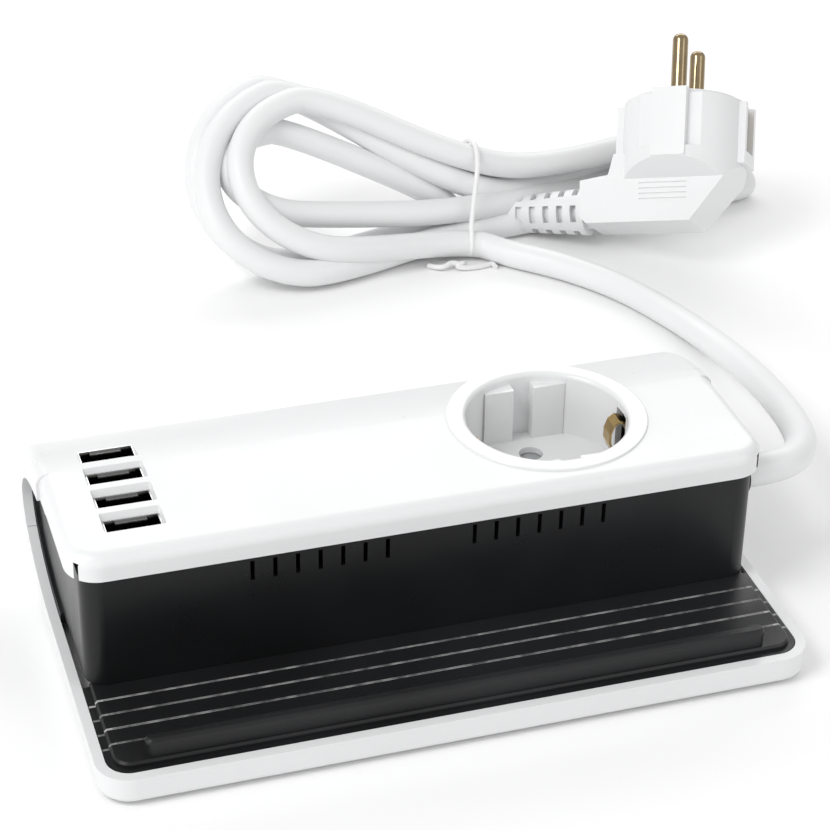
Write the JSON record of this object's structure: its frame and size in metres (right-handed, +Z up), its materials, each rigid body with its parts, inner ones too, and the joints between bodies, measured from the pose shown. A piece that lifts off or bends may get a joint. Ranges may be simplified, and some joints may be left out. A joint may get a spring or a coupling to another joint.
{
  "type": "desk power strip",
  "caption": "Desk power strip with an earthed round socket, USB charging ports, a pen tray in front and a tied mains lead with an angled plug.",
  "frame": {"origin": "on the desk surface under the middle of the strip's housing, without its lead", "axes": "+X along the strip towards the lead's exit, +Y to the rounded back, +Z up"},
  "size_m": [0.2663, 0.268, 0.0644],
  "materials": {
    "white_shell": "smooth moulded, softly glossy white",
    "black_liner": "fine-grained black",
    "black_box": "glossy black",
    "socket_white": "smooth white",
    "shutter_grey": "grey plastic",
    "spring_steel": "spring steel",
    "carrier": "heat-resistant plastic",
    "contact_brass": "bright",
    "usb_steel": "tinned",
    "usb_insulator": "off-white",
    "circuit_board": "green laminate",
    "component_dark": "moulded",
    "wire_brown": "PVC",
    "wire_blue": "PVC",
    "wire_green": "PVC",
    "screw_steel": "zinc plated",
    "foot_rubber": "soft",
    "cord_white": "soft satin white PVC",
    "plug_white": "satin white moulded PVC",
    "plug_inner": "white",
    "pin_nickel": "nickel-plated brass",
    "tie_white": "white coated tie"
  },
  "bodies": {
    "housing": {"top_cover": "white_shell", "base_shell": "white_shell", "tray_liner": "black_liner", "inner_housing": "black_box", "housing_screws": "screw_steel", "rubber_feet": "foot_rubber", "socket_insert": "socket_white", "shutter_spring": "spring_steel", "contact_carrier": "carrier", "live_contact": "contact_brass", "neutral_contact": "contact_brass", "earth_clip": "contact_brass", "usb_board": "circuit_board", "charger_board": "circuit_board", "transformer": "component_dark", "capacitors": "component_dark", "inductor": "component_dark", "wire_live": "wire_brown", "wire_neutral": "wire_blue", "wire_earth": "wire_green", "cord_bushing": "black_box", "cord_clamp": "carrier", "clamp_screws": "screw_steel", "cord_inner_sheath": "cord_white", "plug_body": "plug_white", "plug_insert": "plug_inner", "plug_pins": "pin_nickel", "plug_earth_contacts": "contact_brass", "plug_relief": "plug_white", "cord_lead": "cord_white", "cord_tail": "cord_white", "cord_hank": "cord_white", "twist_tie": "tie_white", "usb_shell_1": "usb_steel", "usb_tongue_1": "usb_insulator", "usb_contacts_1": "contact_brass", "usb_shell_2": "usb_steel", "usb_tongue_2": "usb_insulator", "usb_contacts_2": "contact_brass", "usb_shell_3": "usb_steel", "usb_tongue_3": "usb_insulator", "usb_contacts_3": "contact_brass", "usb_shell_4": "usb_steel", "usb_tongue_4": "usb_insulator", "usb_contacts_4": "contact_brass"},
    "shutter": {"shutter": "shutter_grey"}
  },
  "joints": [
    {"name": "shutter_slide", "type": "slide", "parent": "housing", "child": "shutter", "axis": [1, 0, 0], "range_m": [0, 0.0065], "stiffness_N_per_m": 60, "springref_m": -0.002, "deforming": ["shutter_spring"]}
  ]
}
